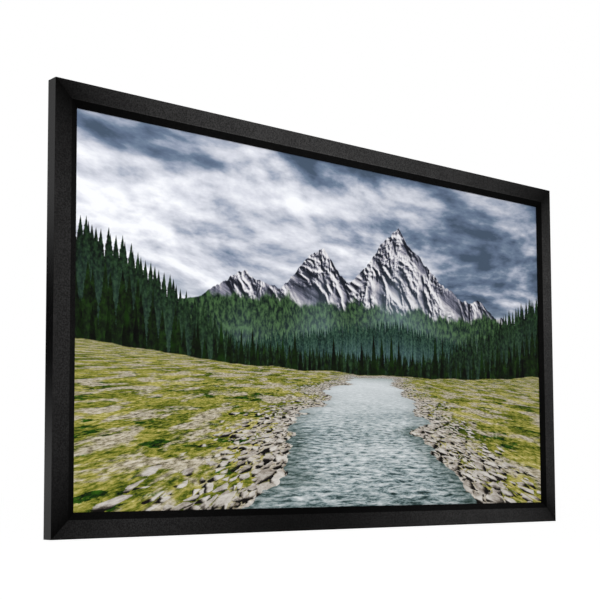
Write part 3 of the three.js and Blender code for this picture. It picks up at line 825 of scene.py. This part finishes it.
def stones(picture, scale, keep_from, keep_to, seed):
    jitter = n.times(n.minus(tufts, 0.5), 0.7 / scale)
    stone_y = n.plus(n.times(ground_y, 0.8), jitter)
    where = {"Vector": n.join(n.plus(ground_x, jitter), stone_y, seed), "Scale": scale}
    cell = n.add("TexVoronoi", where)
    from_edge = n.add("TexVoronoi", where, feature="DISTANCE_TO_EDGE").outputs["Distance"]
    chance = n.add("SeparateColor", {"Color": cell.outputs["Color"]}).outputs
    middle = n.split(cell.outputs["Position"])
    tilt = n.times(n.minus(ground_x, middle["X"]), n.times(n.minus(chance["Red"], 0.5), 3.0))
    face = n.times(n.plus(n.minus(stone_y, middle["Y"]), tilt), scale)
    weathered = n.plus(n.times(chance["Red"], 0.45), n.times(n.step(tufts, 0.3, 0.7), 0.55))
    tone = n.mix(weathered, (92, 86, 80), (204, 198, 190))
    lit = n.mix(n.step(face, -0.42, 0.0), (40, 37, 34), tone)
    rare = n.minus(chance["Green"], n.step(up_bank, keep_from, keep_to))
    inside = n.step(from_edge, 0.05, 0.09)
    mask = n.times(inside, n.step(rare, 0.0, 0.03), below(meadow_edge, 0.004))
    return n.mix(mask, picture, lit)


beach = n.times(n.step(up_bank, 0.0, 0.34, 0.85, 0.0), below(meadow_edge, 0.004))
picture = n.mix(beach, picture, scree_tone)
for sizes in ((34.0, -0.1, 1.0, 1.0), (23.0, -0.2, 1.3, 2.0), (15.0, -0.9, 1.6, 4.0)):
    picture = stones(picture, *sizes)

ripple_place = n.join(n.times(ground_x, 0.7), n.times(ground_y, 2.6), 1.0)
ripples = n.noise(ripple_place, 20.0, 6.0, 0.76, 0.3)
gusts = n.noise(n.join(ground_x, n.times(ground_y, 3.0), 2.0), 1.2, 3.0, 0.5)
water = n.ramp(
    n.plus(n.times(ripples, 0.95), n.times(gusts, 0.2)),
    (0.4, 38, 52, 52), (0.49, 84, 97, 98), (0.58, 140, 149, 151),
    (0.68, 188, 194, 196), (0.8, 230, 233, 234),
)
near_shade = n.step(depth, 0.2, 0.32, 0.0, 0.5)
bank_shade = n.highest(n.step(up_bank, -0.5, 0.0, 0.0, 0.55), near_shade)
far_light = n.step(depth, 0.045, 0.14, 0.6, 0.0)
far_shade = n.step(n.plus(depth, n.times(ripples, 0.012)), 0.04, 0.06, 0.75, 0.0)
water = n.mix(far_light, n.mix(bank_shade, water, (46, 60, 52)), (200, 206, 210))
water = n.mix(far_shade, water, (62, 78, 66))
river = n.times(n.step(from_bank, -0.002, 0.0, 1.0, 0.0), below(n.minus(meadow_edge, 0.004), 0.003))
picture = n.mix(river, picture, water)

# %% [markdown]
# A projector in a dark room throws deep darks beside full lights. A curve over the finished picture gives
# that: it pulls the darks down, lifts the lights, and is steep between them.

# %% Give the picture its contrast
TONE_CURVE = (
    (0.03, 0.009), (0.055, 0.027), (0.12, 0.105), (0.21, 0.265), (0.36, 0.48), (0.63, 0.715),
)
COMBINED = 3

toned = n.add("RGBCurve", {"Color": picture})
for darker, lighter in TONE_CURVE:
    toned.mapping.curves[COMBINED].points.new(darker, lighter)
toned.mapping.update()
picture = toned.outputs["Color"]

n.feed(picture_shader.inputs["Base Color"], picture)
print("picture nodes:", len(picture_material.node_tree.nodes))

# %% [markdown]
# ## Vinyl under tension
#
# A spring pulls at one point of the edge, so between two springs the sheet dips by a hair. The dips are a
# cosine along the edge that dies away inwards. They are too shallow to model, so they go into a bump that
# both faces share, with the vinyl's leather grain and the unevenness of a sheet that came rolled up. The
# back is a black layer that stops light from the wall, slightly glossier than the front.

# %% Finish the vinyl
SPRINGS = {"bottom": 11, "top": 11, "left": 6, "right": 6}
PULL_REACH = 90 * MM

tension_group, n, given, gives = new_group("tension", ["height"])
place = n.split(given["place"])


def dips(along, from_middle, half, count):
    """A cosine that is 1 at each of count springs, times a fade from the edge to the pull's reach."""
    turns = n.times(along, math.pi * count / half[0])
    fade = n.step(n.apart(from_middle, 0.0), half[1] - PULL_REACH, half[1])
    return n.times(n.math("COSINE", n.plus(turns, math.pi * (count - 1))), fade)


half_size = (PICTURE_WIDTH / 2, PICTURE_HEIGHT / 2)
edge_dips = n.plus(
    dips(place["X"], place["Z"], half_size, SPRINGS["top"]),
    dips(place["Z"], place["X"], half_size[::-1], SPRINGS["left"]),
)
unrolled = n.noise(n.join(n.times(place["X"], 0.12), place["Y"], place["Z"]), 26.0, 3.0, 0.6)
n.feed(gives["height"], n.plus(n.times(edge_dips, 0.5), unrolled))


def vinyl_bump(n, share):
    """The leather grain plus a share of the tension, as a normal."""
    grain = n.use(grain_group, place=n.object_place(), scale=1100.0)
    tension = n.use(tension_group, place=n.object_place())
    return n.bump(tension["height"], share, Normal=n.bump(grain["fine"], 0.05 * MM))


n = Nodes(picture_material.node_tree)
n.feed(picture_shader.inputs["Normal"], vinyl_bump(n, 0.3 * MM))

backing_material, n, shader = new_material("black_backing", Specular_IOR_Level=0.4)
grain = n.use(grain_group, place=n.object_place(), scale=300.0)
n.feed(shader.inputs["Base Color"], n.mix(grain["coarse"], (19, 19, 20), (33, 33, 34)))
n.feed(shader.inputs["Roughness"], n.step(grain["coarse"], 0.3, 0.7, 0.42, 0.62))
n.feed(shader.inputs["Normal"], vinyl_bump(n, 1.2 * MM))

# %% [markdown]
# ## The sheet
#
# The sheet is one piece of vinyl. Along each side its edge is folded back round a rod and welded, which
# makes a sleeve with a gap at every spring. The corners are cut off, so that the sleeves don't pile up.
# The flat part is a grid whose width shrinks near the top and the bottom, which draws the cut corners.
# The sleeve is a path round the rod, carried along the side between two gaps.

# %% Make the sheet
ROD_FROM_PICTURE = 16.5 * MM
ROD_RADIUS = 1.5 * MM
SLEEVE_RADIUS = ROD_RADIUS + CLEARANCE
SHEET_CORNER = 20 * MM
SLEEVE_RUN = 8 * MM
SEAM = 5 * MM
NOTCH_WIDTH = 16 * MM
NOTCH_INNER = 3.8 * MM
PANEL_ROWS, PANEL_COLUMNS = 60, 100
FOLD_STEPS, RUN_STEPS, SLEEVE_STEPS = 18, 8, 4

ROD_U = BORDER - ROD_FROM_PICTURE
SHEET_FRONT = SIGHT_BACK + CLEARANCE
SHEET_BACK = SHEET_FRONT + SHEET
ROD_V = SHEET_BACK + SLEEVE_RADIUS


def sleeve_length(side):
    return side["length"] - 2 * (ROD_U + SHEET_CORNER)


def spring_places(name):
    """Places of a side's springs: the middles of equal shares of its sleeve."""
    count = SPRINGS[name]
    return (np.arange(count) - (count - 1) / 2) * sleeve_length(SIDES[name]) / count


def sleeve_path():
    """From the sheet's back round the rod, as half a turn, and down to the weld."""
    angle = np.linspace(-math.pi / 2, -3 * math.pi / 2, FOLD_STEPS + 1)
    fold = [ROD_U, ROD_V] + SLEEVE_RADIUS * np.stack([np.cos(angle), np.sin(angle)], axis=-1)
    start = [[ROD_U + NOTCH_INNER, SHEET_BACK]]
    run_end = [ROD_U + SLEEVE_RUN, SHEET_BACK + 0.1 * MM]
    run = np.linspace([ROD_U, ROD_V + SLEEVE_RADIUS], run_end, RUN_STEPS + 1)[1:]
    weld = [[ROD_U + SLEEVE_RUN + SEAM, SHEET_BACK + 0.05 * MM]]
    return np.concatenate([start, fold, run, weld])


half_width = FRAME_WIDTH / 2 - ROD_U - NOTCH_INNER
half_height = FRAME_HEIGHT / 2 - ROD_U - NOTCH_INNER
cut_corner = SHEET_CORNER - NOTCH_INNER
corner_rows = half_height - cut_corner
rows = np.linspace(-half_height, half_height, PANEL_ROWS)
rows = np.sort([*rows, -corner_rows, corner_rows])
row_width = half_width - np.clip(np.abs(rows) - corner_rows, 0, None)
columns = np.linspace(-1, 1, PANEL_COLUMNS)
y = FRONT + np.array([SHEET_FRONT, SHEET_BACK])
panel = np.broadcast_arrays(row_width[:, None, None] * columns[:, None], y, rows[:, None, None])
sheet_points = [np.stack(panel, axis=-1).reshape(-1, 3)]
panel_faces = slab_faces(len(rows), PANEL_COLUMNS)
sheet_faces = [np.concatenate(panel_faces)]
black_faces = [np.concatenate([np.full(len(part), i > 0) for i, part in enumerate(panel_faces)])]
point_count = len(sheet_points[0])

path = sleeve_path()
u, v = np.moveaxis(np.stack([path, beside(path, SHEET)], axis=1), -1, 0)
for name, side in SIDES.items():
    edge = sleeve_length(side) / 2
    gaps = spring_places(name)
    starts = np.concatenate([[-edge], gaps + NOTCH_WIDTH / 2])
    ends = np.concatenate([gaps - NOTCH_WIDTH / 2, [edge]])
    for start, end in zip(starts, ends):
        s = np.linspace(start, end, SLEEVE_STEPS + 1)[:, None, None]
        points = on_side(side, s, u, v)
        faces = np.concatenate(slab_faces(SLEEVE_STEPS + 1, len(path), point_count))
        sheet_points.append(points.reshape(-1, 3))
        sheet_faces.append(faces)
        black_faces.append(np.full(len(faces), True))
        point_count += points.size // 3

screen = make_piece(
    "screen_sheet_cloth", np.concatenate(sheet_points), np.concatenate(sheet_faces),
    [picture_material, backing_material], face_material=np.concatenate(black_faces),
)
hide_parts("screen_sheet")

# %% [markdown]
# ## Round things: springs and rods
#
# A tube is a circle carried along a path. At every point the circle needs two directions across the path.
# The first is given: it points away from the coil's axis or a bend's middle, so it turns smoothly all the
# way. The second is at a right angle to it and to the path.

# %% Make tubes along a path
def ring_faces(rings, sides):
    """Faces of a tube of rings, each with as many points as it has sides: the walls and the two ends."""
    ids = np.arange(rings * sides).reshape(rings, sides)
    walls = quads(np.concatenate([ids, ids[:, :1]], axis=1))
    return [*walls.tolist(), ids[0].tolist(), ids[-1].tolist()]


def tube(path, outward, radius, sides):
    """Points and faces of a tube. A ring is path + radius * (cos a * across + sin a * side): side is the
    path's direction crossed with outward, and across is as near to outward as a right angle lets it."""
    ahead = np.gradient(path, axis=0)
    ahead /= np.linalg.norm(ahead, axis=1, keepdims=True)
    side = np.cross(ahead, outward)
    side /= np.linalg.norm(side, axis=1, keepdims=True)
    across = np.cross(side, ahead)
    angle = np.linspace(0, 2 * math.pi, sides, endpoint=False)[None, :, None]
    ring = np.cos(angle) * across[:, None] + np.sin(angle) * side[:, None]
    return path[:, None] + radius * ring, ring_faces(len(path), sides)


# %% [markdown]
# The springs pull the sheet flat. Each is one wire with a closed coil, hooked over the ledge in the rail
# at one end and round the rod at the other, in its gap in the sleeve. The coil is a helix, and its first
# and last turns lead into the hooks.

# %% Bend the spring's wire
WIRE_RADIUS = 0.5 * MM
COIL_RADIUS = 2.5 * MM
COIL_TURNS = 15
TURN_STEPS = 14
LEDGE_HOOK = 1.6 * MM
ROD_HOOK = 2.3 * MM
LEDGE_U = 39.4 * MM
HOOK_STRAIGHT = 2.3 * MM
HOOK_END = 1.2 * MM
BEND_STEPS = 8
WIRE_SIDES, ROD_SIDES = 7, 24


def arc(radius, centre_u, centre_v, start, end):
    """A bend in the plane of u and v: centre + radius * (cos a, sin a), and its outward directions."""
    angle = np.linspace(start, end, BEND_STEPS)
    outward = np.stack([np.zeros(BEND_STEPS), np.cos(angle), np.sin(angle)], axis=-1)
    return outward * radius + [0, centre_u, centre_v], outward


def spring_wire():
    """The wire's middle line in (s, u, v) and its outward directions. The helix is (R sin t, a + b t,
    R cos t), and R shrinks to the hooks' size in the first and the last turn."""
    back = ROD_V + ROD_HOOK
    ledge_bend, ledge_out = arc(LEDGE_HOOK, LEDGE_U, back - LEDGE_HOOK, math.pi, math.pi / 2)
    rod_bend, rod_out = arc(ROD_HOOK, ROD_U, ROD_V, math.pi / 2, 0)

    t = np.linspace(0, 2 * math.pi * COIL_TURNS, TURN_STEPS * COIL_TURNS + 1)
    full = np.clip(np.minimum(t, t[::-1]) / (2 * math.pi), 0, 1)
    radius = ROD_HOOK + (COIL_RADIUS - ROD_HOOK) * full
    coil_start = LEDGE_U + LEDGE_HOOK + HOOK_STRAIGHT
    coil_end = ROD_U - ROD_HOOK - HOOK_STRAIGHT
    helix_out = np.stack([np.sin(t), np.zeros_like(t), np.cos(t)], axis=-1)
    along = coil_start + (coil_end - coil_start) * t / t[-1]
    helix_middle = np.stack([0 * t, along, 0 * t + ROD_V], axis=-1)
    helix = helix_middle + radius[:, None] * helix_out

    ledge_tip = [[0, LEDGE_U - LEDGE_HOOK, ROD_V - HOOK_END]]
    rod_tip = [[0, ROD_U + ROD_HOOK, ROD_V - HOOK_END]]
    path = np.concatenate([ledge_tip, ledge_bend, helix, rod_bend, rod_tip])
    outward = np.concatenate([ledge_out[:1], ledge_out, helix_out, rod_out, rod_out[-1:]])
    return path, outward


wire_path, wire_outward = spring_wire()
print(f"a spring's wire is {travelled(wire_path)[-1] * 1000:.0f} mm long")

# %% [markdown]
# Spring wire is drawn steel, darkened by the oil of its hardening. The rods are glass fibre, pale and
# slightly waxy.

# %% Hang the springs and lay the rods
ROD_PAST_SLEEVE = 6 * MM
ROD_CHAMFER = 0.3 * MM

steel_greys = ((128, 130, 134), (178, 180, 184))
spring_material = grainy("spring_steel", 1500.0, steel_greys, (0.22, 0.36), Metallic=1.0)
glass_tones = ((214, 206, 178), (236, 231, 212))
rod_material = grainy("fibreglass", 900.0, glass_tones, (0.32, 0.5), 0.03 * MM, Specular_IOR_Level=0.5)


def turned(side, directions):
    """Directions in (s, u, v), turned to a side: the same turn as for points, but with no shift."""
    return on_side({**side, "reach": 0}, *(directions - [0, 0, FRONT]).T)


for name, side in SIDES.items():
    outward = turned(side, wire_outward)
    for number, s in enumerate(spring_places(name), start=1):
        path = on_side(side, *(wire_path + [s, 0, 0]).T)
        points, faces = tube(path, outward, WIRE_RADIUS, WIRE_SIDES)
        spring = make_piece(f"{name}_spring_wire_{number}", points, faces, [spring_material], sharp=60)
        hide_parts(f"{name}_spring_{number}")

    rod_end = sleeve_length(side) / 2 + ROD_PAST_SLEEVE
    s = np.array([-rod_end, ROD_CHAMFER - rod_end, rod_end - ROD_CHAMFER, rod_end])
    path = on_side(side, s, ROD_U, ROD_V)
    radius = ROD_RADIUS - np.array([ROD_CHAMFER, 0, 0, ROD_CHAMFER])[:, None, None]
    points, faces = tube(path, turned(side, np.tile([0.0, 0.0, 1.0], (4, 1))), radius, ROD_SIDES)
    rod = make_piece(f"{name}_rod_round", points, faces, [rod_material])
    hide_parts(f"{name}_rod")
print(f"{sum(SPRINGS.values())} springs and {len(SIDES)} rods")

# %% [markdown]
# ## The bar's screws
#
# Two pan head screws hold the bar to its clips. Their cross recess is what makes them read as screws, so
# the head is a height over a disc: a dome, less the recess where the point lies in one of the cross's
# arms.

# %% Turn the screws
SCREW_RADIUS = 1.7 * MM
SCREW_LENGTH = 8 * MM
HEAD_RADIUS = 3.5 * MM
HEAD_HEIGHT = 2.2 * MM
CROSS_HALF = 0.45 * MM
CROSS_REACH = 1.9 * MM
CROSS_DEPTH = 1.3 * MM
EDGE = 0.15 * MM
HEAD_RINGS, SCREW_SIDES = 30, 96


def smooth(low, high, value):
    """A smooth step of numbers: 0 up to low, 1 from high."""
    share = np.clip((value - low) / (high - low), 0, 1)
    return share * share * (3 - 2 * share)


def head_height(across, up):
    """The dome H * sqrt(1 - (0.8 r / R)^2), less the recess in the arms |across| or |up| < half width."""
    radius = np.hypot(across, up)
    dome = HEAD_HEIGHT * np.sqrt(np.clip(1 - (0.8 * radius / HEAD_RADIUS) ** 2, 0, 1))
    arm = 1 - smooth(CROSS_HALF - EDGE, CROSS_HALF, np.minimum(np.abs(across), np.abs(up)))
    reach = 1 - smooth(0.6 * CROSS_REACH, CROSS_REACH, radius)
    return dome - CROSS_DEPTH * arm * reach


def screw_points(middle):
    """Rings from the head's middle out over its rim, in under it and down the shank to its tip."""
    angle = np.linspace(0, 2 * math.pi, SCREW_SIDES, endpoint=False)[None, :]
    top = np.linspace(0.02, 1, HEAD_RINGS)[:, None] * HEAD_RADIUS
    across, up = top * np.cos(angle), top * np.sin(angle)
    head = np.stack([across, head_height(across, up), up], axis=-1)
    radii = np.array([HEAD_RADIUS, SCREW_RADIUS, SCREW_RADIUS, 0.3 * SCREW_RADIUS])[:, None]
    depths = np.array([0, 0, 1 * MM - SCREW_LENGTH, -SCREW_LENGTH])[:, None]
    body = np.stack([radii * np.cos(angle), depths + 0 * angle, radii * np.sin(angle)], axis=-1)
    return np.concatenate([head, body]) + middle


for level in ("top", "bottom"):
    low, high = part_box(f"{level}_bar_screw")
    seat = high.y - HEAD_HEIGHT
    points = screw_points([(low.x + high.x) / 2, seat, (low.z + high.z) / 2])
    faces = ring_faces(*points.shape[:2])
    screw = make_piece(f"{level}_bar_screw_head", points, faces, [zinc], sharp=30)
    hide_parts(f"{level}_bar_screw")
print(f"screw heads {2 * HEAD_RADIUS * 1000:.0f} mm across")
